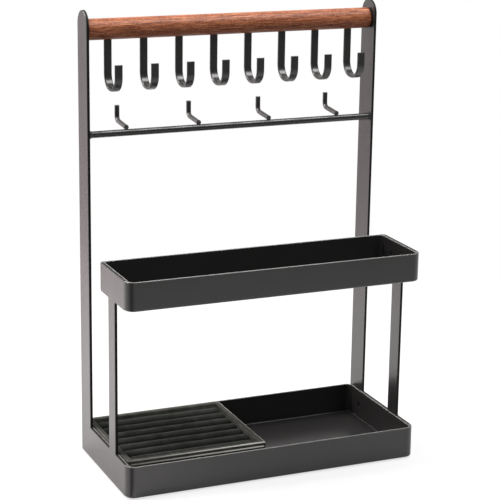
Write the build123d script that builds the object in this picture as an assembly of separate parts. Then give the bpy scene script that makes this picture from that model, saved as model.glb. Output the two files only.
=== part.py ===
from build123d import *
import os

# Jewelry stand: two flat side frames carry two trays, a wooden bar with strap hooks
# and a round cross rod with wire hooks. A ring box lifts out of the lower tray.
# Millimetres. X runs along the bar, Y from front to rear, Z up from the table.

# Side frames
overall_width = 230.0
plate_thickness = 2.0
upright_width = 21.0
upright_height = 336.5
leg_width = 14.0
leg_setback = 27.0
waist_radius = 1.2
inner_corner_radius = 1.0
outer_corner_radius = 0.5
plate_edge_break = 0.3

# Trays, bent from sheet
sheet_thickness = 1.0
tray_corner_radius = 5.0
front_nose_depth = 7.0
front_nose_radius = 6.5
rear_nose_depth = 3.0
rear_nose_radius = 2.5
fold_radius = 1.4
rim_break = 0.3
lower_tray_depth = 106.0
lower_tray_height = 24.0
upper_tray_depth = 60.0
upper_tray_height = 21.5
upper_tray_lift = 139.0

# Feet
foot_diameter = 10.0
foot_thickness = 1.0
foot_inset = 13.0
foot_edge_break = 0.3

# Wooden bar and the studs that hold it
bar_diameter = 15.4
bar_drop = 14.1
bar_end_break = 1.3
stud_diameter = 4.0
stud_length = 12.0

# Strap hooks in the bar
bar_hook_count = 8
bar_hook_end_margin = 17.2
strap_width = 5.6
strap_thickness = 2.0
strap_edge_break = 0.4
strap_seat_depth = 8.0
bar_hook_reach = 24.0
bar_hook_bend_radius = 10.5
bar_hook_drop = 35.4
bar_hook_tip_height = 20.4

# Cross rod
rod_diameter = 5.0
rod_drop = 74.9
rod_inset = 3.0
rod_flare_diameter = 7.0
rod_flare_length = 2.2

# Wire hooks on the rod
rod_hook_count = 4
rod_hook_end_margin = 28.4
wire_diameter = 3.6
rod_hook_reach = 20.5
rod_hook_start = 0.6
rod_hook_rise = 1.6
rod_hook_bend_radius = 4.0
rod_hook_height = 16.5
weld_depth = 0.4

# Countersunk screws that hold the trays to the side frames
screw_diameter = 3.0
screw_head_diameter = 4.6
screw_setback = 17.5
screw_tip_gap = 0.1
thread_skin = 0.4
screw_recess_width = 0.8
screw_recess_span = 2.4
screw_recess_depth = 0.5

# Ring box
box_length = 107.5
box_rise = 0.5
box_wall = 4.0
box_floor = 3.0
box_corner_radius = 2.2
box_edge_round = 0.8
box_ledge_width = 2.0
box_ledge_drop = 2.3

# Padded ring rolls in the box
roll_count = 7
roll_crest_drop = 1.0
roll_crown_rise = 4.6
roll_end_taper = 5.0
roll_end_inset = 0.7

# Clearances
seat_clearance = 0.05
box_side_gap = 0.9
box_finger_gap = 8.4
roll_gap = 0.1
bite_margin = 1.0

# Places that follow from the sizes above
half_width = overall_width / 2
inner_span = overall_width - 2 * plate_thickness
rod_behind_front = lower_tray_depth - upright_width + rod_inset
overall_depth = max(lower_tray_depth, rod_behind_front + rod_hook_reach + wire_diameter / 2)
front_y = -overall_depth / 2
upright_rear_y = front_y + lower_tray_depth
upright_front_y = upright_rear_y - upright_width
upright_center_y = upright_rear_y - upright_width / 2
rod_y = front_y + rod_behind_front
plate_bottom_z = foot_thickness
lower_rim_z = plate_bottom_z + lower_tray_height
upper_tray_z = plate_bottom_z + upper_tray_lift
upper_rim_z = upper_tray_z + upper_tray_height
arch_center_z = plate_bottom_z + upright_height - upright_width / 2
bar_z = plate_bottom_z + upright_height - bar_drop
rod_z = bar_z - rod_drop
tray_floor_z = plate_bottom_z + sheet_thickness
box_depth = (lower_tray_depth - 2 * sheet_thickness - box_side_gap - box_finger_gap
             - box_ledge_width)
box_height = lower_tray_height - sheet_thickness + box_rise
roll_height = box_height - box_floor - roll_crest_drop
tapped_depth = plate_thickness - thread_skin
screw_length = sheet_thickness + tapped_depth - screw_tip_gap
screw_head_depth = (screw_head_diameter - screw_diameter) / 2


def side_rectangle(y_low, y_high, z_low, z_high):
    """Rectangle in the side view, given by its four edges."""
    center = Pos((y_low + y_high) / 2, (z_low + z_high) / 2)
    return center * Rectangle(y_high - y_low, z_high - z_low)


def screw_places():
    """Y and Z of every screw in one end of the stand."""
    for depth, bottom, height in (
        (lower_tray_depth, plate_bottom_z, lower_tray_height),
        (upper_tray_depth, upper_tray_z, upper_tray_height),
    ):
        for setback in (screw_setback, depth - screw_setback):
            yield front_y + setback, bottom + height / 2


def side_profile():
    """Outline of a side frame: end plates, leg and round-topped upright in one sheet."""
    leg_front_y = front_y + leg_setback
    leg_rear_y = leg_front_y + leg_width
    plate_front_y = front_y + front_nose_depth
    shelf_rear_y = front_y + upper_tray_depth - rear_nose_depth
    lower_end = side_rectangle(plate_front_y, upright_rear_y, plate_bottom_z, lower_rim_z)
    upright = side_rectangle(upright_front_y, upright_rear_y, plate_bottom_z, arch_center_z)
    arch = Pos(upright_center_y, arch_center_z) * Circle(upright_width / 2)
    leg = side_rectangle(leg_front_y, leg_rear_y, plate_bottom_z, upper_rim_z)
    upper_end = side_rectangle(plate_front_y, shelf_rear_y, upper_tray_z, upper_rim_z)
    outline = lower_end + upright + arch + leg + upper_end

    def corners(points):
        return [outline.vertices().sort_by_distance((y, z, 0))[0] for y, z in points]

    waist = corners([(leg_front_y, upper_tray_z), (leg_rear_y, upper_tray_z)])
    outline = fillet(waist, waist_radius)
    inner = corners([(leg_front_y, lower_rim_z), (leg_rear_y, lower_rim_z),
                     (upright_front_y, lower_rim_z)])
    outline = fillet(inner, inner_corner_radius)
    outer = corners([(plate_front_y, plate_bottom_z), (plate_front_y, lower_rim_z),
                     (upright_rear_y, plate_bottom_z),
                     (plate_front_y, upper_tray_z), (plate_front_y, upper_rim_z),
                     (shelf_rear_y, upper_tray_z), (shelf_rear_y, upper_rim_z)])
    return fillet(outer, outer_corner_radius)


def side_frame(side):
    """Flat plate at one end, with blind tapped holes; side is -1 for left, 1 for right."""
    inner_x = side * (half_width - plate_thickness)
    plate = extrude(Plane.YZ.offset(inner_x) * side_profile(), amount=side * plate_thickness)
    outer_face = plate.faces().sort_by(Axis.X)[-1 if side > 0 else 0]
    plate = chamfer(outer_face.edges(), plate_edge_break)
    for y, z in screw_places():
        hole = Plane.YZ.offset(inner_x) * Pos(y, z) * Circle(screw_diameter / 2 + seat_clearance)
        plate -= extrude(hole, amount=side * tapped_depth)
    return plate


def countersunk_shape(clearance, length, x, y, z, side):
    """Screw body or its hole: a cone under a flush head, then a shank towards the plate."""
    head_radius = screw_head_diameter / 2 + clearance
    shank_radius = screw_diameter / 2 + clearance
    section = Polygon(
        (0, 0), (head_radius, 0), (shank_radius, screw_head_depth), (shank_radius, length),
        (0, length), align=None,
    )
    turned = revolve(Plane.XZ * section, Axis.Z)
    return Plane(origin=(x, y, z), z_dir=(side, 0, 0)) * turned


def add_nose(pan, side, reach, radius, depth, height):
    """Widens one long side of a tray until its corners are flush with the side frames."""
    plan = Pos(0, side * (depth - reach) / 2) * Rectangle(overall_width, reach)
    pan -= extrude(plan, amount=height)
    outer_corners = plan.vertices().group_by(Axis.Y)[0 if side < 0 else -1]
    nose = extrude(fillet(outer_corners, radius), amount=height)
    bottom = nose.edges().group_by(Axis.Z)[0].sort_by(Axis.Y)
    folded = bottom[:-1] if side < 0 else bottom[1:]
    return pan + fillet(folded, fold_radius)


def tray_outside(depth, height, rear_flush):
    """Outer form of a tray, with noses at the front and, on a free rear side, at the rear."""
    pan = extrude(RectangleRounded(inner_span, depth, tray_corner_radius), amount=height)
    pan = fillet(pan.edges().group_by(Axis.Z)[0], fold_radius)
    pan = add_nose(pan, -1, front_nose_depth, front_nose_radius, depth, height)
    if rear_flush:
        pan = add_nose(pan, 1, rear_nose_depth, rear_nose_radius, depth, height)
    return pan


def tray(depth, height, bottom_z, rear_flush, screw_rows):
    """Open sheet tray with rounded corners, folded bottom edges and a broken rim edge."""
    center = Pos(0, front_y + depth / 2, bottom_z)
    outer = tray_outside(depth, height, rear_flush)
    wall = sheet_thickness
    cavity = extrude(
        RectangleRounded(inner_span - 2 * wall, depth - 2 * wall, tray_corner_radius - wall),
        amount=height,
    )
    cavity = fillet(cavity.edges().group_by(Axis.Z)[0], fold_radius - wall)
    shell = outer - Pos(0, 0, wall) * cavity
    shell = chamfer(shell.edges().group_by(Axis.Z)[-1], rim_break)
    shell = center * shell
    for side in (-1, 1):
        head_x = side * (inner_span / 2 - sheet_thickness)
        for y, z in screw_rows:
            shell -= countersunk_shape(seat_clearance, sheet_thickness, head_x, y, z, side)
    return shell


def tray_screws(rows):
    """Every tray screw, head flush with the inside of the tray's end wall."""
    screws = []
    for side in (-1, 1):
        head_x = side * (inner_span / 2 - sheet_thickness)
        for y, z in rows:
            screw = countersunk_shape(0, screw_length, head_x, y, z, side)
            recess_center = Pos(head_x + side * screw_recess_depth / 2, y, z)
            for width, span in ((screw_recess_width, screw_recess_span),
                                (screw_recess_span, screw_recess_width)):
                screw -= recess_center * Box(screw_recess_depth, width, span)
            screws.append(screw)
    return Compound(children=screws)


def foot(x_side, y_side):
    """Thin rubber disc under one corner of the lower tray."""
    x = x_side * (inner_span / 2 - foot_inset)
    y = front_y + lower_tray_depth / 2 + y_side * (lower_tray_depth / 2 - foot_inset)
    disc = Cylinder(foot_diameter / 2, foot_thickness, align=(Align.CENTER, Align.CENTER, Align.MIN))
    disc = chamfer(disc.edges().group_by(Axis.Z)[0], foot_edge_break)
    return Pos(x, y, 0) * disc


def hook_places(count, end_margin):
    """X of each hook in a row, evenly spaced between the two end margins."""
    first = end_margin - inner_span / 2
    pitch = -2 * first / (count - 1)
    return [first + index * pitch for index in range(count)]


def wood_bar():
    """Round bar between the uprights, slotted for the hooks and bored for the studs."""
    bar = Rot(0, 90, 0) * Cylinder(bar_diameter / 2, inner_span)
    bar = chamfer(bar.edges().filter_by(GeomType.CIRCLE), bar_end_break)
    slot_top = strap_seat_depth + seat_clearance - bar_diameter / 2
    slot_width = strap_width + 2 * seat_clearance
    slot_thickness = strap_thickness + 2 * seat_clearance
    slot_height = strap_seat_depth + seat_clearance + bite_margin
    slot = Box(slot_width, slot_thickness, slot_height, align=(Align.CENTER, Align.CENTER, Align.MAX))
    for x in hook_places(bar_hook_count, bar_hook_end_margin):
        bar -= Pos(x, 0, slot_top) * slot
    bore = Rot(0, 90, 0) * Cylinder(stud_diameter / 2 + seat_clearance, stud_length + seat_clearance)
    for side in (-1, 1):
        bar -= Pos(side * (inner_span - stud_length - seat_clearance) / 2, 0, 0) * bore
    return Pos(0, upright_center_y, bar_z) * bar


def bar_stud(side):
    """Stud on the inner face of an upright, pressed into the end of the bar."""
    stud = Rot(0, 90, 0) * Cylinder(stud_diameter / 2, stud_length)
    return Pos(side * (inner_span - stud_length) / 2, upright_center_y, bar_z) * stud


def bar_hook(x):
    """Flat strap bent to a J: down from the bar, forward, and up to a square-cut tip."""
    strap_y = upright_center_y
    tip_y = strap_y - bar_hook_reach
    bar_bottom_z = bar_z - bar_diameter / 2
    low_z = bar_bottom_z - bar_hook_drop + strap_thickness / 2
    tip_z = low_z - strap_thickness / 2 + bar_hook_tip_height
    path = FilletPolyline(
        (x, strap_y, bar_bottom_z + strap_seat_depth), (x, strap_y, low_z),
        (x, tip_y, low_z), (x, tip_y, tip_z),
        radius=bar_hook_bend_radius,
    )
    start = Plane(origin=path @ 0, x_dir=(1, 0, 0), z_dir=path % 0)
    flat = Rectangle(strap_width, strap_thickness)
    section = chamfer(flat.vertices(), strap_edge_break)
    return sweep(sections=start * section, path=path)


def hook_rod():
    """Round rod between the uprights, flaring into its welds at both ends."""
    half = inner_span / 2
    radius = rod_diameter / 2
    section = Polygon(
        (-half, 0), (half, 0), (half, rod_flare_diameter / 2), (half - rod_flare_length, radius),
        (rod_flare_length - half, radius), (-half, rod_flare_diameter / 2), align=None,
    )
    return Pos(0, rod_y, rod_z) * revolve(Plane.XZ * section, Axis.X)


def rod_hook(x):
    """Wire welded on top of the rod, running to the rear and bent up to a cut end."""
    start_z = rod_z + rod_diameter / 2 + wire_diameter / 2 - weld_depth
    rear_y = rod_y + rod_hook_reach
    path = FilletPolyline(
        (x, rod_y - rod_hook_start, start_z), (x, rear_y, start_z + rod_hook_rise),
        (x, rear_y, rod_z + rod_hook_height),
        radius=rod_hook_bend_radius,
    )
    start = Plane(origin=path @ 0, x_dir=(1, 0, 0), z_dir=path % 0)
    wire = sweep(sections=start * Circle(wire_diameter / 2), path=path)
    seat = Rot(0, 90, 0) * Cylinder(rod_diameter / 2 + seat_clearance, 2 * wire_diameter)
    return wire - Pos(x, rod_y, rod_z) * seat


def box_center():
    """Middle of the ring box's bottom, in the left rear corner of the lower tray."""
    left_x = -inner_span / 2 + sheet_thickness + box_side_gap
    rear_y = upright_rear_y - sheet_thickness - box_side_gap
    return left_x + box_length / 2, rear_y - box_depth / 2


def box_inside():
    """Length and depth of the ring box's cavity, and the Y of its middle."""
    length = box_length - 2 * box_wall
    depth = box_depth - 2 * box_wall
    return length, depth


def ring_box():
    """Velvet-covered open box with a low ledge along the foot of its front wall."""
    x, y = box_center()
    outer = extrude(RectangleRounded(box_length, box_depth, box_corner_radius), amount=box_height)
    length, depth = box_inside()
    cavity = extrude(Rectangle(length, depth), amount=box_height)
    walls = outer - Pos(0, 0, box_floor) * cavity
    walls = fillet(walls.edges().group_by(Axis.Z)[-1], box_edge_round)
    ledge = Box(
        box_length - 2 * box_corner_radius, box_ledge_width, box_height - box_ledge_drop,
        align=(Align.CENTER, Align.MAX, Align.MIN),
    )
    ledge_edge = ledge.edges().filter_by(Axis.X).sort_by(Axis.Y)[:2].sort_by(Axis.Z)[-1]
    ledge = fillet(ledge_edge, box_edge_round)
    return Pos(x, y, tray_floor_z) * (walls + Pos(0, -box_depth / 2, 0) * ledge)


def roll_section(x, y, inset):
    """Cross-section of a roll: upright sides under a crowned top."""
    length, depth = box_inside()
    half = (depth / roll_count - roll_gap) / 2 - inset / 2
    crest = roll_height - inset
    shoulder = crest - roll_crown_rise
    outline = Line((-half, 0), (half, 0))
    outline += Line((half, 0), (half, shoulder))
    outline += ThreePointArc((half, shoulder), (0, crest), (-half, shoulder))
    outline += Line((-half, shoulder), (-half, 0))
    floor = Plane(origin=(x, y, tray_floor_z + box_floor), x_dir=(0, 1, 0), z_dir=(1, 0, 0))
    return floor * make_face(outline)


def ring_roll(index):
    """Foam roll across the box, drawn in a little at both ends."""
    center_x, center_y = box_center()
    length, depth = box_inside()
    y = center_y + (index - (roll_count - 1) / 2) * depth / roll_count
    half = length / 2 - roll_gap
    stations = ((-half, roll_end_inset), (roll_end_taper - half, 0),
                (half - roll_end_taper, 0), (half, roll_end_inset))
    sections = [roll_section(center_x + offset, y, inset) for offset, inset in stations]
    return loft(sections, ruled=True)


def build_nodes():
    """Every sub-part by its node name."""
    rows = list(screw_places())
    lower_rows = [row for row in rows if row[1] < lower_rim_z]
    upper_rows = [row for row in rows if row[1] > lower_rim_z]
    nodes = {
        "left_side_frame": side_frame(-1),
        "right_side_frame": side_frame(1),
        "lower_tray": tray(lower_tray_depth, lower_tray_height, plate_bottom_z, False, lower_rows),
        "upper_tray": tray(upper_tray_depth, upper_tray_height, upper_tray_z, True, upper_rows),
        "tray_screws": tray_screws(rows),
        "wood_bar": wood_bar(),
        "left_bar_stud": bar_stud(-1),
        "right_bar_stud": bar_stud(1),
        "hook_rod": hook_rod(),
        "ring_box": ring_box(),
    }
    for x_side, x_name in ((-1, "left"), (1, "right")):
        for y_side, y_name in ((-1, "front"), (1, "rear")):
            nodes[f"{y_name}_{x_name}_foot"] = foot(x_side, y_side)
    for number, x in enumerate(hook_places(bar_hook_count, bar_hook_end_margin), start=1):
        nodes[f"bar_hook_{number}"] = bar_hook(x)
    for number, x in enumerate(hook_places(rod_hook_count, rod_hook_end_margin), start=1):
        nodes[f"rod_hook_{number}"] = rod_hook(x)
    for index in range(roll_count):
        nodes[f"ring_roll_{index + 1}"] = ring_roll(index)
    return nodes


os.makedirs("parts", exist_ok=True)
for name, shape in build_nodes().items():
    export_step(shape, f"parts/{name}.step")
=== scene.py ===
import math

import bmesh
import bpy
from mathutils import Matrix, Vector, noise


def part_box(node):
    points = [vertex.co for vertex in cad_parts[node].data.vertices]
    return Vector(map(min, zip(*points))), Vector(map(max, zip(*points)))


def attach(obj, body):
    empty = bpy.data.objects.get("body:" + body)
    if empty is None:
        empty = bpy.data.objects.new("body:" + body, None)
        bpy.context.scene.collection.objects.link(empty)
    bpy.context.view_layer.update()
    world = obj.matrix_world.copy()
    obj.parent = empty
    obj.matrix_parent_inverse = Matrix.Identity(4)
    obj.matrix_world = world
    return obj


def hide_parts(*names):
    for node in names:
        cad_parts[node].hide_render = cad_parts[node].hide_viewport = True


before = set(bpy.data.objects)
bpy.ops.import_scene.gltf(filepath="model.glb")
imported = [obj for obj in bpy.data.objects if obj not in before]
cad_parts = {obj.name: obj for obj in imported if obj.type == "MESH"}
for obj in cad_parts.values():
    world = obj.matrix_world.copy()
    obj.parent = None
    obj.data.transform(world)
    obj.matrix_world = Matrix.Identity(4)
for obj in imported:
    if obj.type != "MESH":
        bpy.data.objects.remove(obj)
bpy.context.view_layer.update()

bl_info = {
    "name": "Jewelry Stand Dresser",
    "version": (1, 0, 0),
    "blender": (4, 5, 0),
    "location": "3D View > Sidebar > Jewelry Stand",
    "description": "Finishes a steel and wood jewelry stand and pads its ring box",
    "category": "Object",
}

# Metres within which two places count as one, and the gap that a roll keeps to its space.
CLOSE = 0.00001
CLEAR = 0.00005
# Least upward part of a level face's normal.
LEVEL = 0.9
# Range that most of a noise texture's values fall in.
NOISE_LOW = 0.3
NOISE_HIGH = 0.7
WHITE = (1.0, 1.0, 1.0)
RING_INSERT = "ring_insert"
ROLL_NODES = sorted(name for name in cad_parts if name.startswith("ring_roll_"))
FRAME_NODES = ("left_side_frame", "right_side_frame")
TRAY_NODES = ("lower_tray", "upper_tray")
HOOK_NODES = sorted(
    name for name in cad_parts
    if name.startswith(("bar_hook_", "rod_hook_")) or name == "hook_rod"
)
FOOT_NODES = sorted(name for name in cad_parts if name.endswith("_foot"))
STUD_NODES = sorted(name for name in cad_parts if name.endswith("_bar_stud"))


class CoatSettings(bpy.types.PropertyGroup):
    """Black powder coat on the steel parts."""

    color: bpy.props.FloatVectorProperty(
        name="Coat colour", description="Colour of the powder coat",
        default=(0.0165, 0.0162, 0.0160), subtype="COLOR", size=3, min=0.0, max=1.0,
    )
    # Painted highlight: the pale colour that the trays' upward rim edges take, standing in for the
    # light they catch.
    rim_color: bpy.props.FloatVectorProperty(
        name="Rim colour", description="Colour of the coat where it is thin over a tray's rim",
        default=(0.74, 0.73, 0.71), subtype="COLOR", size=3, min=0.0, max=1.0,
    )
    # Painted shade: the near-black colour of the frames' narrow cut edges and of the hooks' upward
    # edges.
    edge_shade_color: bpy.props.FloatVectorProperty(
        name="Cut edge colour", description="Colour of the matt coat on the sheet's cut edges",
        default=(0.004, 0.004, 0.004), subtype="COLOR", size=3, min=0.0, max=1.0,
    )
    gloss: bpy.props.FloatProperty(
        name="Gloss", description="Strength of the reflections in the coat",
        default=0.58, min=0.0, max=1.0, subtype="FACTOR",
    )
    roughness: bpy.props.FloatProperty(
        name="Roughness", description="Mean roughness of the satin coat",
        default=0.29, min=0.0, max=1.0, subtype="FACTOR",
    )
    hook_roughness: bpy.props.FloatProperty(
        name="Hook roughness", description="Mean roughness of the coat on the hooks and the rod",
        default=0.28, min=0.0, max=1.0, subtype="FACTOR",
    )
    grain: bpy.props.FloatProperty(
        name="Grain", description="Size of the coat's fine orange peel",
        default=0.0006, unit="LENGTH",
    )
    grain_depth: bpy.props.FloatProperty(
        name="Grain depth", description="Height of the coat's fine orange peel",
        default=0.000012, unit="LENGTH",
    )
    edge_width: bpy.props.FloatProperty(
        name="Edge width", description="Width of the soft edge that the coat leaves on the sheet",
        default=0.0004, unit="LENGTH",
    )


class WoodSettings(bpy.types.PropertyGroup):
    """Reddish hardwood of the bar."""

    light_color: bpy.props.FloatVectorProperty(
        name="Light grain", description="Colour of the pale grain",
        default=(0.60, 0.24, 0.108), subtype="COLOR", size=3, min=0.0, max=1.0,
    )
    mid_color: bpy.props.FloatVectorProperty(
        name="Mid grain", description="Main colour of the wood",
        default=(0.245, 0.072, 0.035), subtype="COLOR", size=3, min=0.0, max=1.0,
    )
    dark_color: bpy.props.FloatVectorProperty(
        name="Dark grain", description="Colour of the dark streaks and pores",
        default=(0.090, 0.024, 0.013), subtype="COLOR", size=3, min=0.0, max=1.0,
    )
    streak_length: bpy.props.FloatProperty(
        name="Streak length", description="Length of a streak along the bar",
        default=0.0105, unit="LENGTH",
    )
    # Light flecks: partly grain, partly painted glints of the lacquer's broken highlight.
    fleck_glint_length: bpy.props.FloatProperty(
        name="Fleck length", description="Length of a light fleck along the bar",
        default=0.0018, unit="LENGTH",
    )
    streak_width: bpy.props.FloatProperty(
        name="Streak width", description="Width of a streak across the bar",
        default=0.00068, unit="LENGTH",
    )


class VelvetSettings(bpy.types.PropertyGroup):
    """Dark velvet on the ring box and its padded rolls."""

    roll_color: bpy.props.FloatVectorProperty(
        name="Roll colour", description="Colour of the pile on the rolls",
        default=(0.0165, 0.0190, 0.0165), subtype="COLOR", size=3, min=0.0, max=1.0,
    )
    box_color: bpy.props.FloatVectorProperty(
        name="Box colour", description="Colour of the pile on the box",
        default=(0.030, 0.0305, 0.0265), subtype="COLOR", size=3, min=0.0, max=1.0,
    )
    # Painted highlight: the lighter colour of the box's rounded outer edges.
    painted_edge_color: bpy.props.FloatVectorProperty(
        name="Edge colour", description="Colour of the pile stretched over the box's left edge",
        default=(0.070, 0.069, 0.064), subtype="COLOR", size=3, min=0.0, max=1.0,
    )
    # Painted highlight: the pale colour that the box's outer edges grow towards on the right.
    right_highlight_color: bpy.props.FloatVectorProperty(
        name="Worn colour", description="Colour of the worn pile on the box's right edge",
        default=(0.620, 0.614, 0.580), subtype="COLOR", size=3, min=0.0, max=1.0,
    )
    brushing: bpy.props.FloatProperty(
        name="Brushing", description="How much lighter the pile is where it leans to the light",
        default=1.7, min=1.0,
    )
    roll_voxel: bpy.props.FloatProperty(
        name="Roll voxel", description="Mesh size of a roll before it is inflated",
        default=0.0014, unit="LENGTH",
    )
    roll_pressure: bpy.props.FloatProperty(
        name="Roll pressure", description="Pressure of the stuffing that inflates a roll",
        default=4.0,
    )
    roll_swell: bpy.props.FloatProperty(
        name="Roll swell", description="Most that a point of a roll may move when it is inflated",
        default=0.0005, unit="LENGTH",
    )
    roll_shrink: bpy.props.FloatProperty(
        name="Roll shrink", description="How much narrower a roll starts than its space, each side",
        default=0.0004, unit="LENGTH",
    )
    roll_shoulder: bpy.props.FloatProperty(
        name="Roll shoulder", description="Radius of a roll's upper edges",
        default=0.0053, unit="LENGTH",
    )
    roll_end: bpy.props.FloatProperty(
        name="Roll end", description="Radius of the edges around a roll's ends",
        default=0.0016, unit="LENGTH",
    )
    roll_wave: bpy.props.FloatProperty(
        name="Roll wave", description="Height of the slight waves of the velvet over a roll",
        default=0.00028, unit="LENGTH",
    )
    # Painted shade: the rolls darken over this depth below the crest, down into the creases between
    # them.
    crease_shade_depth: bpy.props.FloatProperty(
        name="Crease depth", description="How far below a roll's crest the pile is at its darkest",
        default=0.0038, unit="LENGTH",
    )
    box_edge: bpy.props.FloatProperty(
        name="Box edge", description="Radius of the covered edges of the ring box",
        default=0.0007, unit="LENGTH",
    )


class StageSettings(bpy.types.PropertyGroup):
    """Floor, studio light and camera."""

    floor_color: bpy.props.FloatVectorProperty(
        name="Floor colour", description="Colour of the floor sweep",
        default=(0.80, 0.80, 0.80), subtype="COLOR", size=3, min=0.0, max=1.0,
    )
    bounce_color: bpy.props.FloatVectorProperty(
        name="Bounce colour", description="Colour of the floor in the light that it throws back",
        default=(0.28, 0.28, 0.28), subtype="COLOR", size=3, min=0.0, max=1.0,
    )
    # Painted reflection: the pinkish colour that glossy rays see on the floor far behind.
    far_reflection_color: bpy.props.FloatVectorProperty(
        name="Distant colour", description="Colour of the floor far behind, as the steel mirrors it",
        default=(0.83, 0.735, 0.75), subtype="COLOR", size=3, min=0.0, max=1.0,
    )
    # Painted reflection: the dark colour that glossy rays see in patches of the floor.
    dark_reflection_color: bpy.props.FloatVectorProperty(
        name="Flag colour", description="Colour of the floor's dark part, as the steel mirrors it",
        default=(0.12, 0.12, 0.12), subtype="COLOR", size=3, min=0.0, max=1.0,
    )
    key_power: bpy.props.FloatProperty(
        name="Key power", description="Power of the soft box above right",
        default=13.0, unit="POWER",
    )
    left_power: bpy.props.FloatProperty(
        name="Left power", description="Power of the soft box over the floor at the left",
        default=6.5, unit="POWER",
    )
    rear_power: bpy.props.FloatProperty(
        name="Rear power", description="Power of the low soft box behind",
        default=4.5, unit="POWER",
    )
    azimuth: bpy.props.FloatProperty(
        name="Azimuth", description="Camera direction, left of the front",
        default=math.radians(23.339), subtype="ANGLE",
    )
    elevation: bpy.props.FloatProperty(
        name="Elevation", description="Camera direction, above the horizon",
        default=math.radians(15.216), subtype="ANGLE",
    )
    roll: bpy.props.FloatProperty(
        name="Roll", description="Turn of the camera about its own axis",
        default=math.radians(0.863), subtype="ANGLE",
    )
    distance: bpy.props.FloatProperty(
        name="Distance", description="Camera distance from its target",
        default=1.2875, unit="LENGTH",
    )
    target: bpy.props.FloatVectorProperty(
        name="Target", description="Point that the camera looks at",
        default=(-0.00034, -0.00196, 0.16111), subtype="XYZ", unit="LENGTH", size=3,
    )
    lens: bpy.props.FloatProperty(
        name="Lens", description="Focal length in millimetres on a 36 mm sensor",
        default=125.28,
    )


def new_material(name):
    """Empty node material with an output and a Principled shader."""
    material = bpy.data.materials.new(name)
    material.use_nodes = True
    tree = material.node_tree
    tree.nodes.clear()
    output = tree.nodes.new("ShaderNodeOutputMaterial")
    shader = tree.nodes.new("ShaderNodeBsdfPrincipled")
    tree.links.new(shader.outputs["BSDF"], output.inputs["Surface"])
    return material, tree, shader


def add_node(tree, kind, **values):
    """Node of a kind with its attributes set, and its unlinked inputs by in_ and their name."""
    node = tree.nodes.new(kind)
    for key, value in values.items():
        if key.startswith("in_"):
            node.inputs[key[3:].replace("_", " ")].default_value = value
        else:
            setattr(node, key, value)
    return node


def set_sockets(shader, **values):
    """Sets a shader's own sockets by name, with _ for each space."""
    for key, value in values.items():
        shader.inputs[key.replace("_", " ")].default_value = value


def scaled(color, factor):
    """A plain colour times a factor."""
    return tuple(channel * factor for channel in color)


def axis_of(tree, vector, axis):
    """One coordinate of a vector socket."""
    split = tree.nodes.new("ShaderNodeSeparateXYZ")
    tree.links.new(vector, split.inputs["Vector"])
    return split.outputs[axis]


def object_coordinates(tree, scale=(1.0, 1.0, 1.0)):
    """Object coordinates through a Mapping node."""
    coordinates = tree.nodes.new("ShaderNodeTexCoord")
    mapping = add_node(tree, "ShaderNodeMapping", in_Scale=scale)
    tree.links.new(coordinates.outputs["Object"], mapping.inputs["Vector"])
    return mapping.outputs["Vector"]


def noise_texture(tree, vector, size, detail=3.0, roughness=0.5, distortion=0.0):
    """Noise whose features are about the given size in metres."""
    texture = add_node(tree, "ShaderNodeTexNoise", in_Scale=1.0 / size, in_Detail=detail,
                       in_Roughness=roughness, in_Distortion=distortion)
    tree.links.new(vector, texture.inputs["Vector"])
    return texture.outputs["Fac"]


def color_ramp(tree, value, stops):
    """Colour ramp over (position, colour) stops."""
    ramp = tree.nodes.new("ShaderNodeValToRGB")
    elements = ramp.color_ramp.elements
    while len(elements) < len(stops):
        elements.new(0.5)
    for element, (position, color) in zip(elements, stops):
        element.position = position
        element.color = (*color, 1.0)
    tree.links.new(value, ramp.inputs["Fac"])
    return ramp.outputs["Color"]


def map_range(tree, value, low, high, to_low, to_high):
    """Value remapped and clamped to a new range."""
    node = add_node(tree, "ShaderNodeMapRange", in_From_Min=low, in_From_Max=high,
                    in_To_Min=to_low, in_To_Max=to_high)
    tree.links.new(value, node.inputs["Value"])
    return node.outputs["Result"]


def rise(tree, value, low, high, top=1.0):
    """0 on one side of the low value, rising to the top share at the high one."""
    return map_range(tree, value, low, high, 0.0, top)


def math_node(tree, operation, first, second):
    """One math operation on two value sockets."""
    node = add_node(tree, "ShaderNodeMath", operation=operation)
    tree.links.new(first, node.inputs[0])
    tree.links.new(second, node.inputs[1])
    return node.outputs["Value"]


def mix_colors(tree, factor, first, second, blend="MIX"):
    """Mix of two colours, each a socket or a plain colour."""
    node = add_node(tree, "ShaderNodeMix", data_type="RGBA", blend_type=blend)
    sockets = {socket.identifier: socket for socket in node.inputs}
    for name, value in (("Factor_Float", factor), ("A_Color", first), ("B_Color", second)):
        if isinstance(value, bpy.types.NodeSocket):
            tree.links.new(value, sockets[name])
        elif isinstance(value, float):
            sockets[name].default_value = value
        else:
            sockets[name].default_value = (*value, 1.0)
    return next(s for s in node.outputs if s.identifier == "Result_Color")


def mix_shaders(tree, share, first, second):
    """The first shader, with the second one in its place by the share."""
    node = tree.nodes.new("ShaderNodeMixShader")
    tree.links.new(share, node.inputs["Fac"])
    tree.links.new(first, node.inputs[1])
    tree.links.new(second, node.inputs[2])
    return node.outputs["Shader"]


def bump(tree, shader, height, distance, strength=1.0, normal=None):
    """Bump from a height socket into the shader's normal."""
    node = add_node(tree, "ShaderNodeBump", in_Strength=strength, in_Distance=distance)
    tree.links.new(height, node.inputs["Height"])
    if normal is not None:
        tree.links.new(normal, node.inputs["Normal"])
    tree.links.new(node.outputs["Normal"], shader.inputs["Normal"])


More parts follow.
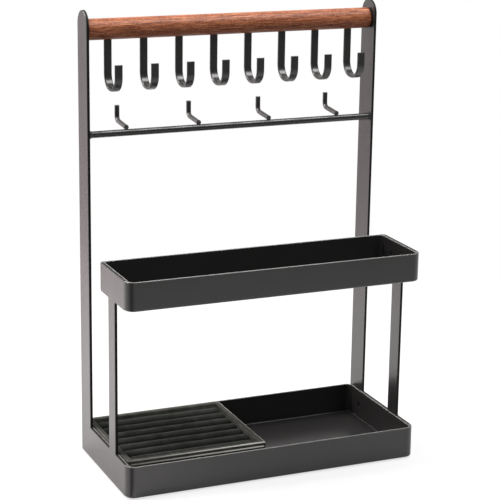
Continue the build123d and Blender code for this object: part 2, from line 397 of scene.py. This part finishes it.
def edge_mask(tree, width, samples=6):
    """0 on flats, rising to 1 on edges that a soft radius of this width would turn."""
    turned = 0.86
    soft = add_node(tree, "ShaderNodeBevel", samples=samples, in_Radius=width)
    geometry = tree.nodes.new("ShaderNodeNewGeometry")
    cosine = add_node(tree, "ShaderNodeVectorMath", operation="DOT_PRODUCT")
    tree.links.new(soft.outputs["Normal"], cosine.inputs[0])
    tree.links.new(geometry.outputs["Normal"], cosine.inputs[1])
    mask = rise(tree, cosine.outputs["Value"], low=1.0, high=turned)
    return mask, soft.outputs["Normal"]


def powder_coat(name, settings, painted_edge_color, roughness):
    """Satin black powder coat: orange peel, uneven sheen, and upward edges in the given painted edge
    colour.
    """
    cloud_size = settings.grain * 60
    cloud_tint = 1.08
    smoothest = roughness - 0.015
    roughest = roughness + 0.02
    material, tree, shader = new_material(name)
    position = object_coordinates(tree)
    peel = noise_texture(tree, position, settings.grain, detail=2.0)
    cloud = noise_texture(tree, position, cloud_size, detail=4.0)
    edges, soft_normal = edge_mask(tree, settings.edge_width)
    # Painted light on upward edges: a painted highlight on the tray rims, painted shade on the
    # hooks; the frames keep their coat colour there.
    upward = rise(tree, axis_of(tree, soft_normal, "Z"), low=0.1, high=0.4)
    painted_edge_share = math_node(tree, "MULTIPLY", edges, upward)
    mottled = mix_colors(tree, cloud, settings.color, scaled(settings.color, cloud_tint))
    color = mix_colors(tree, painted_edge_share, mottled, painted_edge_color)
    uneven = map_range(tree, cloud, NOISE_LOW, NOISE_HIGH, smoothest, roughest)
    tree.links.new(color, shader.inputs["Base Color"])
    tree.links.new(uneven, shader.inputs["Roughness"])
    set_sockets(shader, Specular_IOR_Level=settings.gloss)
    bump(tree, shader, peel, settings.grain_depth, normal=soft_normal)
    return material


def shaded_cut_edge_coat(settings):
    """Matt coat on the narrow cut edges of the sheet, mottled with a near-black colour that paints
    shade on them.
    """
    material, tree, shader = new_material("powder_coat_shaded_cut_edge")
    grain = noise_texture(tree, object_coordinates(tree), settings.grain, detail=3.0)
    color = mix_colors(tree, grain, settings.edge_shade_color, settings.color)
    tree.links.new(color, shader.inputs["Base Color"])
    set_sockets(shader, Roughness=0.55, Specular_IOR_Level=0.12)
    bump(tree, shader, grain, settings.grain_depth)
    return material


def lacquered_wood(settings):
    """Reddish hardwood with streaks, light flecks and pores along the bar under a thin satin
    lacquer; the flecks are partly grain and partly painted glints of the lacquer's broken highlight.
    """
    width = settings.streak_width
    band_width = width * 4
    pore_width = width / 3.2
    band_shade = (0.62, 0.55, 0.52)
    band_strength = 0.85
    dull = 0.50
    satin = 0.38
    relief_height = 0.00016
    material, tree, shader = new_material("lacquered_hardwood")
    long_grain = object_coordinates(tree, (width / settings.streak_length, 1.0, 1.0))
    short_grain = object_coordinates(tree, (width / settings.fleck_glint_length, 1.0, 1.0))
    streaks = noise_texture(tree, long_grain, width, detail=5.0, roughness=0.62, distortion=0.5)
    bands = noise_texture(tree, long_grain, band_width, detail=3.0, roughness=0.5, distortion=1.4)
    pores = noise_texture(tree, long_grain, pore_width, detail=2.0, roughness=0.5, distortion=0.3)
    fleck_glints = noise_texture(tree, short_grain, width, detail=2.0, roughness=0.6)
    dark_stop = (0.30, settings.dark_color)
    mid_stop = (0.47, settings.mid_color)
    light_stop = (0.68, settings.light_color)
    body = color_ramp(tree, streaks, (dark_stop, mid_stop, light_stop))
    shaded_stop = (0.35, band_shade)
    clear_stop = (0.62, WHITE)
    broad = color_ramp(tree, bands, (shaded_stop, clear_stop))
    toned = mix_colors(tree, band_strength, body, broad, "MULTIPLY")
    # Light flecks of the pale grain colour: partly real grain, partly painted glints standing in for
    # the lacquer's broken highlight.
    fleck_glint_mask = rise(tree, fleck_glints, low=0.54, high=0.68, top=0.6)
    fleck_glinted = mix_colors(tree, fleck_glint_mask, toned, settings.light_color)
    pore_mask = rise(tree, pores, low=0.40, high=0.28, top=0.9)
    color = mix_colors(tree, pore_mask, fleck_glinted, settings.dark_color)
    uneven = map_range(tree, streaks, NOISE_LOW, NOISE_HIGH, dull, satin)
    tree.links.new(color, shader.inputs["Base Color"])
    tree.links.new(uneven, shader.inputs["Roughness"])
    set_sockets(shader, Specular_IOR_Level=0.20)
    relief = mix_colors(tree, 0.5, streaks, pores)
    bump(tree, shader, relief, relief_height, strength=0.5)
    return material


def velvet(name, settings, base, crest=None, highlight_span=None):
    """Short-pile velvet with nap and fibre relief, with painted shade below a crest height when one
    is given, and a painted highlight growing along X when a span is given.
    """
    nap_size = 0.009
    fibre_size = 0.00042
    fibre_height = 0.00018
    crest_part = 5
    crease_shade = 0.05
    sheen_tint = (0.60, 0.62, 0.55, 1.0)
    material, tree, shader = new_material(name)
    position = object_coordinates(tree)
    nap = noise_texture(tree, position, nap_size, detail=3.0, roughness=0.6, distortion=0.4)
    fibre = noise_texture(tree, position, fibre_size, detail=2.0, roughness=0.7)
    brushed = rise(tree, nap, low=0.38, high=0.66)
    color = mix_colors(tree, brushed, base, scaled(base, settings.brushing))
    if highlight_span is not None:
        # Painted highlight: the edge pile pales towards the right, up to the right highlight colour.
        highlight_share = rise(tree, axis_of(tree, position, "X"), *highlight_span)
        color = mix_colors(tree, highlight_share, color, settings.right_highlight_color)
    speckle = map_range(tree, fibre, low=0.3, high=0.75, to_low=0.65, to_high=1.35)
    color = mix_colors(tree, 1.0, color, speckle, "MULTIPLY")
    # Painted shade: below the crest the roll's colour darkens into the creases, down to the crease
    # shade at the crease depth.
    if crest is not None:
        darkest = crest - settings.crease_shade_depth
        shade_start = crest - settings.crease_shade_depth / crest_part
        height = axis_of(tree, position, "Z")
        crease_shading = map_range(tree, height, darkest, shade_start, crease_shade, 1.0)
        color = mix_colors(tree, 1.0, color, crease_shading, "MULTIPLY")
    tree.links.new(color, shader.inputs["Base Color"])
    set_sockets(shader, Roughness=0.92, Specular_IOR_Level=0.2)
    set_sockets(shader, Sheen_Weight=0.06, Sheen_Roughness=0.35, Sheen_Tint=sheen_tint)
    bump(tree, shader, fibre, fibre_height, strength=0.8)
    return material


def zinc_steel(name, color, roughness):
    """Plated steel with fine turning marks."""
    mark_size = 0.0004
    mark_depth = 0.00002
    mark_shade = 0.8
    smoothest = roughness - 0.06
    roughest = roughness + 0.08
    material, tree, shader = new_material(name)
    marks = noise_texture(tree, object_coordinates(tree), mark_size, detail=4.0, roughness=0.6)
    tint = mix_colors(tree, marks, scaled(color, mark_shade), color)
    uneven = map_range(tree, marks, NOISE_LOW, NOISE_HIGH, smoothest, roughest)
    tree.links.new(tint, shader.inputs["Base Color"])
    tree.links.new(uneven, shader.inputs["Roughness"])
    set_sockets(shader, Metallic=1.0)
    bump(tree, shader, marks, mark_depth, strength=0.6)
    return material


def foot_rubber():
    """Matte black rubber with a moulded grain."""
    grain_size = 0.0005
    grain_depth = 0.00004
    dark = (0.018, 0.018, 0.018)
    pale = (0.036, 0.035, 0.034)
    material, tree, shader = new_material("foot_rubber_black")
    grain = noise_texture(tree, object_coordinates(tree), grain_size, detail=3.0)
    tree.links.new(mix_colors(tree, grain, dark, pale), shader.inputs["Base Color"])
    set_sockets(shader, Roughness=0.8)
    bump(tree, shader, grain, grain_depth, strength=0.6)
    return material


def dress_node(name, material):
    """Gives a carried CAD node one material."""
    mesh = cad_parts[name].data
    mesh.materials.clear()
    mesh.materials.append(material)


def dress_cut_edges(name, material):
    """Gives the narrow edges of a flat side frame a second material."""
    edge_tilt = math.radians(30)
    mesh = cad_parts[name].data
    mesh.materials.append(material)
    for polygon in mesh.polygons:
        if abs(polygon.normal.x) < math.sin(edge_tilt):
            polygon.material_index = len(mesh.materials) - 1


def finished_object(name, mesh_source, material, smooth=True):
    """New object at the origin from a bmesh, with its material."""
    mesh = bpy.data.meshes.new(name)
    bmesh.ops.recalc_face_normals(mesh_source, faces=mesh_source.faces)
    mesh_source.to_mesh(mesh)
    mesh_source.free()
    for polygon in mesh.polygons:
        polygon.use_smooth = smooth
    mesh.materials.append(material)
    piece = bpy.data.objects.new(name, mesh)
    bpy.context.scene.collection.objects.link(piece)
    return piece


def beveled_edges(work, edges, width, segments):
    """Rounds edges with a plain circular bevel; returns the new faces."""
    made = bmesh.ops.bevel(
        work, geom=edges, offset=width, offset_type="OFFSET", segments=segments,
        profile=0.5, affect="EDGES", material=-1, clamp_overlap=True,
    )
    return made["faces"]


def box_shape(work, low, high):
    """Box between two corners; returns its vertices."""
    made = bmesh.ops.create_cube(work, size=1.0)["verts"]
    size = high - low
    bmesh.ops.scale(work, vec=size, verts=made)
    bmesh.ops.translate(work, vec=(low + high) / 2, verts=made)
    return made


def baked_modifiers(piece):
    """Applies every modifier of a piece to its mesh."""
    depsgraph = bpy.context.evaluated_depsgraph_get()
    mesh = bpy.data.meshes.new_from_object(piece.evaluated_get(depsgraph))
    old = piece.data
    piece.modifiers.clear()
    piece.data = mesh
    bpy.data.meshes.remove(old)


def remeshed(piece, voxel):
    """Even quads of the voxel's size over a closed piece."""
    modifier = piece.modifiers.new("even_quads", "REMESH")
    modifier.mode = "VOXEL"
    modifier.voxel_size = voxel
    bpy.context.view_layer.update()
    baked_modifiers(piece)


def inflated(piece, pressure, cap, frames=20):
    """Blows a closed piece up as stuffed cloth and keeps each point within the cap."""
    start = [vertex.co.copy() for vertex in piece.data.vertices]
    cloth = piece.modifiers.new("stuffed_cloth", "CLOTH")
    cloth.settings.quality = 6
    cloth.settings.mass = 0.05
    cloth.settings.tension_stiffness = 12
    cloth.settings.compression_stiffness = 12
    cloth.settings.shear_stiffness = 6
    cloth.settings.bending_stiffness = 0.4
    cloth.settings.use_pressure = True
    cloth.settings.uniform_pressure_force = pressure
    cloth.settings.effector_weights.gravity = 0.0
    cloth.collision_settings.use_collision = False
    cloth.point_cache.frame_start = 1
    cloth.point_cache.frame_end = frames
    scene = bpy.context.scene
    for number in range(1, frames + 1):
        scene.frame_set(number)
    baked_modifiers(piece)
    scene.frame_set(1)
    for vertex, rest in zip(piece.data.vertices, start):
        move = vertex.co - rest
        if move.length > cap:
            vertex.co = rest + move.normalized() * cap


class JEWELRY_OT_coat_steel(bpy.types.Operator):
    """Coat the side frames, trays, hooks and rod in black powder"""

    bl_idname = "jewelry.coat_steel"
    bl_label = "Coat Steel"

    def execute(self, context):
        settings = context.scene.jewelry_coat
        rough = settings.roughness
        frame_coat = powder_coat("powder_coat_frame", settings, settings.color, rough)
        # Painted shade: the frames' narrow edges get the near-black matt cut-edge coat.
        shaded_cut_edges = shaded_cut_edge_coat(settings)
        for name in FRAME_NODES:
            dress_node(name, frame_coat)
            dress_cut_edges(name, shaded_cut_edges)
        # Painted highlight: the trays' upward rim edges take the rim highlight colour.
        tray_coat = powder_coat("powder_coat_tray", settings, settings.rim_color, rough)
        for name in TRAY_NODES:
            dress_node(name, tray_coat)
        rough = settings.hook_roughness
        # Painted shade: the hooks' upward edges take the near-black edge shade colour.
        hook_coat = powder_coat("powder_coat_hook", settings, settings.edge_shade_color, rough)
        for name in HOOK_NODES:
            dress_node(name, hook_coat)
        return {"FINISHED"}


class JEWELRY_OT_finish_bar(bpy.types.Operator):
    """Give the bar its lacquered reddish wood"""

    bl_idname = "jewelry.finish_bar"
    bl_label = "Finish Bar"

    def execute(self, context):
        dress_node("wood_bar", lacquered_wood(context.scene.jewelry_wood))
        return {"FINISHED"}


class JEWELRY_OT_finish_fittings(bpy.types.Operator):
    """Finish the tray screws, the bar's studs and the rubber feet"""

    bl_idname = "jewelry.finish_fittings"
    bl_label = "Finish Fittings"

    def execute(self, context):
        black_plating = (0.12, 0.12, 0.125)
        plain_plating = (0.62, 0.62, 0.60)
        dress_node("tray_screws", zinc_steel("black_zinc", black_plating, roughness=0.38))
        plain = zinc_steel("plain_zinc", plain_plating, roughness=0.3)
        for name in STUD_NODES:
            dress_node(name, plain)
        rubber = foot_rubber()
        for name in FOOT_NODES:
            dress_node(name, rubber)
        return {"FINISHED"}


class JEWELRY_OT_cover_ring_box(bpy.types.Operator):
    """Make the velvet-covered ring box with soft edges"""

    bl_idname = "jewelry.cover_ring_box"
    bl_label = "Cover Ring Box"

    def execute(self, context):
        settings = context.scene.jewelry_velvet
        low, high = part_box("ring_box")
        cavity_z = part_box(ROLL_NODES[0])[0].z
        corners = [vertex.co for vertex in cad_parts["ring_box"].data.vertices]
        cavity = [corner for corner in corners if abs(corner.z - cavity_z) < CLOSE]
        wall = min(corner.x for corner in cavity) - low.x
        wall_front = min(corner.y for corner in cavity) - wall
        ledge_top = max(corner.z for corner in corners if corner.y < wall_front - CLOSE)
        walls_low = Vector((low.x, wall_front, low.z))
        ledge_low = Vector((low.x + wall / 2, low.y, low.z))
        ledge_high = Vector((high.x - wall / 2, wall_front, ledge_top))
        work = bmesh.new()
        rounded = self.walls(work, walls_low, high, wall, cavity_z, settings.box_edge)
        rounded += self.ledge(work, ledge_low, ledge_high, settings.box_edge)
        self.mark_outer_edges(rounded, walls_low, high, wall / 2)
        cover = velvet("velvet_box", settings, settings.box_color)
        # Painted highlight: the box's rounded outer edges get a lighter velvet that pales further
        # towards the right.
        highlight_edge_cover = velvet("velvet_box_highlight_edge", settings, settings.painted_edge_color,
                            highlight_span=(low.x, high.x))
        piece = finished_object("ring_box_cover", work, cover)
        piece.data.materials.append(highlight_edge_cover)
        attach(piece, RING_INSERT)
        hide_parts("ring_box")
        return {"FINISHED"}

    def walls(self, work, low, high, wall, cavity_z, radius):
        """Makes the open box and rounds its top edges; returns the rounded faces."""
        sharp = math.radians(40)
        box_shape(work, low, high)
        top = [face for face in work.faces if face.normal.z > LEVEL]
        inset = bmesh.ops.inset_region(work, faces=top, thickness=wall, use_even_offset=True)
        floor = [
            face for face in work.faces
            if face.normal.z > LEVEL and face not in inset["faces"]
        ]
        pushed = bmesh.ops.extrude_discrete_faces(work, faces=floor)
        bottom = pushed["faces"][0]
        bmesh.ops.translate(work, vec=(0, 0, cavity_z - high.z), verts=bottom.verts)
        top_edges = [
            edge for edge in work.edges
            if edge.calc_face_angle(0.0) > sharp
            and all(abs(vertex.co.z - high.z) < CLOSE for vertex in edge.verts)
        ]
        return beveled_edges(work, top_edges, radius, segments=4)

    def ledge(self, work, low, high, radius):
        """Makes the low ledge in front and rounds its front edge; returns the rounded faces."""
        corners = box_shape(work, low, high)
        front_edges = [
            edge for edge in {edge for corner in corners for edge in corner.link_edges}
            if all(abs(vertex.co.z - high.z) < CLOSE for vertex in edge.verts)
            and all(abs(vertex.co.y - low.y) < CLOSE for vertex in edge.verts)
        ]
        return beveled_edges(work, front_edges, radius, segments=4)

    def mark_outer_edges(self, rounded, low, high, reach):
        """Gives the second material, the painted edge highlight, to rounded faces within reach of
        the walls' outside.
        """
        for face in rounded:
            middle = face.calc_center_median()
            inward = min(middle.x - low.x, high.x - middle.x, middle.y - low.y, high.y - middle.y)
            face.material_index = 1 if inward < reach else 0


class JEWELRY_OT_pad_ring_rolls(bpy.types.Operator):
    """Make the padded velvet rolls that hold the rings"""

    bl_idname = "jewelry.pad_ring_rolls"
    bl_label = "Pad Ring Rolls"

    def execute(self, context):
        settings = context.scene.jewelry_velvet
        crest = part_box(ROLL_NODES[0])[1].z
        cover = velvet("velvet_roll", settings, settings.roll_color, crest)
        for name in ROLL_NODES:
            piece = self.roll(name, settings, cover)
            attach(piece, RING_INSERT)
            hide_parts(name)
        return {"FINISHED"}

    def roll(self, node, settings, cover):
        """One roll: a round-shouldered bar of foam, inflated as cloth inside its space."""
        sharp = math.radians(60)
        margin = settings.roll_shrink
        low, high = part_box(node)
        low += Vector((margin, margin, 0))
        high -= Vector((margin, margin, margin))
        work = bmesh.new()
        box_shape(work, low, high)
        shoulders = [
            edge for edge in work.edges
            if all(abs(vertex.co.z - high.z) < CLOSE for vertex in edge.verts)
            and abs(edge.verts[0].co.y - edge.verts[1].co.y) < CLOSE
        ]
        beveled_edges(work, shoulders, settings.roll_shoulder, segments=8)
        ends = [
            edge for edge in work.edges
            if abs(edge.verts[0].co.x - edge.verts[1].co.x) < CLOSE
            and edge.calc_face_angle(0.0) > sharp
        ]
        beveled_edges(work, ends, settings.roll_end, segments=3)
        piece = finished_object(node + "_pad", work, cover)
        remeshed(piece, settings.roll_voxel)
        inflated(piece, settings.roll_pressure, settings.roll_swell)
        self.settle(piece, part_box(node), settings.roll_wave)
        smooth = piece.modifiers.new("soft_surface", "SUBSURF")
        smooth.levels = 1
        smooth.render_levels = 1
        return piece

    def settle(self, piece, space, wave_height):
        """Adds the slight waves of stretched velvet and keeps the roll inside its space."""
        wave_lengths = (0.014, 0.004, 0.008)
        low, high = space
        for vertex in piece.data.vertices:
            point = vertex.co
            place = [value / length for value, length in zip(point, wave_lengths)]
            height = (point.z - low.z) / (high.z - low.z)
            point.z += noise.noise(Vector(place)) * wave_height * max(height, 0.0)
            for axis in range(3):
                point[axis] = min(max(point[axis], low[axis] + CLEAR), high[axis] - CLEAR)
        for polygon in piece.data.polygons:
            polygon.use_smooth = True


class JEWELRY_OT_set_stage(bpy.types.Operator):
    """Set the pale floor, the soft studio light and the camera"""

    bl_idname = "jewelry.set_stage"
    bl_label = "Set Stage"

    def execute(self, context):
        settings = context.scene.jewelry_stage
        self.floor(settings)
        self.world(context.scene)
        self.lamps(settings)
        self.camera(context.scene, settings)
        context.scene.view_settings.view_transform = "Standard"
        return {"FINISHED"}

    def floor(self, settings):
        """Wide pale floor that shows white to the camera and keeps a soft shadow, and shows painted
        reflections to glossy rays.
        """
        half_size = 6.0
        fade_start = 0.22
        fade_end = 0.9
        least_white = 0.70
        work = bmesh.new()
        bmesh.ops.create_grid(work, x_segments=1, y_segments=1, size=half_size)
        material, tree, shader = new_material("floor_sweep")
        set_sockets(shader, Roughness=0.9)
        rays = tree.nodes.new("ShaderNodeLightPath").outputs
        place = tree.nodes.new("ShaderNodeTexCoord").outputs["Object"]
        # Painted reflections: glossy rays see the floor pinkish far behind and dark in patches;
        # diffuse rays get the darker bounce colour.
        bounce = mix_colors(tree, rays["Is Diffuse Ray"], settings.floor_color,
                            settings.bounce_color)
        far_behind = rise(tree, axis_of(tree, place, "Y"), low=0.25, high=0.65)
        pale = mix_colors(tree, far_behind, settings.floor_color, settings.far_reflection_color)
        mirrored = mix_colors(tree, self.dark_reflection_share(tree, place), pale, settings.dark_reflection_color)
        seen = mix_colors(tree, rays["Is Glossy Ray"], bounce, mirrored)
        tree.links.new(seen, shader.inputs["Base Color"])
        distance = add_node(tree, "ShaderNodeVectorMath", operation="LENGTH")
        tree.links.new(place, distance.inputs[0])
        fade = map_range(tree, distance.outputs["Value"], fade_start, fade_end,
                         least_white, 1.0)
        white_share = math_node(tree, "MULTIPLY", rays["Is Camera Ray"], fade)
        glow = add_node(tree, "ShaderNodeEmission", in_Strength=1.0)
        shown = mix_shaders(tree, white_share, shader.outputs["BSDF"], glow.outputs["Emission"])
        output = next(node for node in tree.nodes if node.type == "OUTPUT_MATERIAL")
        tree.links.new(shown, output.inputs["Surface"])
        floor = finished_object("floor", work, material, smooth=False)

    def dark_reflection_share(self, tree, place):
        """Share of painted dark reflection in the floor as glossy rays see it: far in front, at the
        left corner, and behind right.
        """
        across = axis_of(tree, place, "X")
        depth = axis_of(tree, place, "Y")
        far_front = rise(tree, depth, low=-0.1, high=-1.1, top=0.68)
        right = rise(tree, across, low=-0.05, high=0.15, top=0.9)
        behind = rise(tree, depth, low=0.25, high=0.45)
        rear_right = math_node(tree, "MULTIPLY", right, behind)
        front = math_node(tree, "MAXIMUM", far_front, self.corner_reflection_share(tree, place))
        return math_node(tree, "MAXIMUM", front, rear_right)

    def corner_reflection_share(self, tree, place):
        """Share of painted dark reflection in a wedge of floor that runs out from the tray's left
        corner.
        """
        corner = (*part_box("lower_tray")[0].xy, 0.0)
        outward = (-0.6, -0.8, 0.0)
        offset = add_node(tree, "ShaderNodeVectorMath", operation="SUBTRACT")
        direction = add_node(tree, "ShaderNodeVectorMath", operation="NORMALIZE")
        aligned = add_node(tree, "ShaderNodeVectorMath", operation="DOT_PRODUCT")
        offset.inputs[1].default_value = corner
        aligned.inputs[1].default_value = outward
        tree.links.new(place, offset.inputs[0])
        tree.links.new(offset.outputs["Vector"], direction.inputs[0])
        tree.links.new(direction.outputs["Vector"], aligned.inputs[0])
        return rise(tree, aligned.outputs["Value"], low=0.80, high=0.96, top=0.9)

    def world(self, scene):
        """Pale studio, white to the camera: bright behind the stand and dim behind the camera."""
        studio_tint = (1.0, 0.975, 0.965, 1.0)
        turn = 0.6
        dim = 0.24
        bright = 0.95
        world = bpy.data.worlds.new("studio")
        world.use_nodes = True
        tree = world.node_tree
        tree.nodes.clear()
        output = tree.nodes.new("ShaderNodeOutputWorld")
        rays = tree.nodes.new("ShaderNodeLightPath").outputs
        direction = tree.nodes.new("ShaderNodeTexCoord").outputs["Generated"]
        rearward = axis_of(tree, direction, "Y")
        strength = map_range(tree, rearward, -turn, turn, dim, bright)
        studio = add_node(tree, "ShaderNodeBackground", in_Color=studio_tint)
        tree.links.new(strength, studio.inputs["Strength"])
        white = add_node(tree, "ShaderNodeBackground", in_Color=(*WHITE, 1.0), in_Strength=1.0)
        shown = mix_shaders(tree, rays["Is Camera Ray"], studio.outputs["Background"],
                            white.outputs["Background"])
        tree.links.new(shown, output.inputs["Surface"])
        scene.world = world

    def lamps(self, settings):
        """Soft boxes: the key above right, one over the floor at the left and a low one behind."""
        warm = (1.0, 0.94, 0.93)
        self.soft_box(
            "key_box", place=Vector((0.34, -0.22, 1.2)), aim=Vector((0, -0.05, 0.12)),
            size=0.6, power=settings.key_power, color=WHITE,
        )
        self.soft_box(
            "left_box", place=Vector((-0.42, 0.22, 0.62)), aim=Vector((-0.19, 0.02, 0)),
            size=0.35, power=settings.left_power, color=warm,
        )
        self.soft_box(
            "rear_box", place=Vector((-1.05, 1.25, 0.32)), aim=Vector((0, 0, 0.1)),
            size=0.55, power=settings.rear_power, color=warm,
        )

    def soft_box(self, name, place, aim, size, power, color):
        """Square area lamp at a place, turned to the point that it lights."""
        data = bpy.data.lights.new(name, "AREA")
        data.shape = "SQUARE"
        data.size = size
        data.energy = power
        data.color = color
        lamp = bpy.data.objects.new(name, data)
        lamp.location = place
        lamp.rotation_mode = "QUATERNION"
        lamp.rotation_quaternion = (aim - place).to_track_quat("-Z", "Y")
        bpy.context.scene.collection.objects.link(lamp)

    def camera(self, scene, settings):
        """Camera at the photograph's angle."""
        azimuth = settings.azimuth
        elevation = settings.elevation
        back = Vector((
            -math.sin(azimuth) * math.cos(elevation),
            -math.cos(azimuth) * math.cos(elevation),
            math.sin(elevation),
        ))
        data = bpy.data.cameras.new("camera")
        data.lens = settings.lens
        data.sensor_width = 36.0
        data.clip_start = 0.05
        data.clip_end = 50.0
        level = (-back).to_track_quat("-Z", "Y").to_matrix()
        turn = level @ Matrix.Rotation(settings.roll, 3, "Z")
        camera = bpy.data.objects.new("camera", data)
        camera.location = Vector(settings.target) + back * settings.distance
        camera.rotation_mode = "QUATERNION"
        camera.rotation_quaternion = turn.to_quaternion()
        scene.collection.objects.link(camera)
        scene.camera = camera


class JEWELRY_PT_stand(bpy.types.Panel):
    """Sizes, colours and steps of the jewelry stand"""

    bl_idname = "JEWELRY_PT_stand"
    bl_label = "Jewelry Stand"
    bl_space_type = "VIEW_3D"
    bl_region_type = "UI"
    bl_category = "Jewelry Stand"

    def draw(self, context):
        layout = self.layout
        for group in PROPERTY_NAMES:
            settings = getattr(context.scene, group)
            column = layout.column(align=True)
            for key in settings.bl_rna.properties.keys():
                if key not in ("rna_type", "name"):
                    column.prop(settings, key)
        for operator in OPERATORS:
            layout.operator(operator.bl_idname)


PROPERTY_NAMES = {
    "jewelry_coat": CoatSettings,
    "jewelry_wood": WoodSettings,
    "jewelry_velvet": VelvetSettings,
    "jewelry_stage": StageSettings,
}
OPERATORS = (
    JEWELRY_OT_coat_steel,
    JEWELRY_OT_finish_bar,
    JEWELRY_OT_finish_fittings,
    JEWELRY_OT_cover_ring_box,
    JEWELRY_OT_pad_ring_rolls,
    JEWELRY_OT_set_stage,
)


def register():
    """Registers the settings, the operators and the panel."""
    for group in (*PROPERTY_NAMES.values(), *OPERATORS, JEWELRY_PT_stand):
        bpy.utils.register_class(group)
    for name, group in PROPERTY_NAMES.items():
        setattr(bpy.types.Scene, name, bpy.props.PointerProperty(type=group))


def unregister():
    """Takes the settings, the operators and the panel away again."""
    for name in PROPERTY_NAMES:
        delattr(bpy.types.Scene, name)
    for group in reversed((*PROPERTY_NAMES.values(), *OPERATORS, JEWELRY_PT_stand)):
        bpy.utils.unregister_class(group)


def main():
    register()
    bpy.ops.jewelry.coat_steel()
    bpy.ops.jewelry.finish_bar()
    bpy.ops.jewelry.finish_fittings()
    bpy.ops.jewelry.cover_ring_box()
    bpy.ops.jewelry.pad_ring_rolls()
    bpy.ops.jewelry.set_stage()


if __name__ == "__main__":
    main()
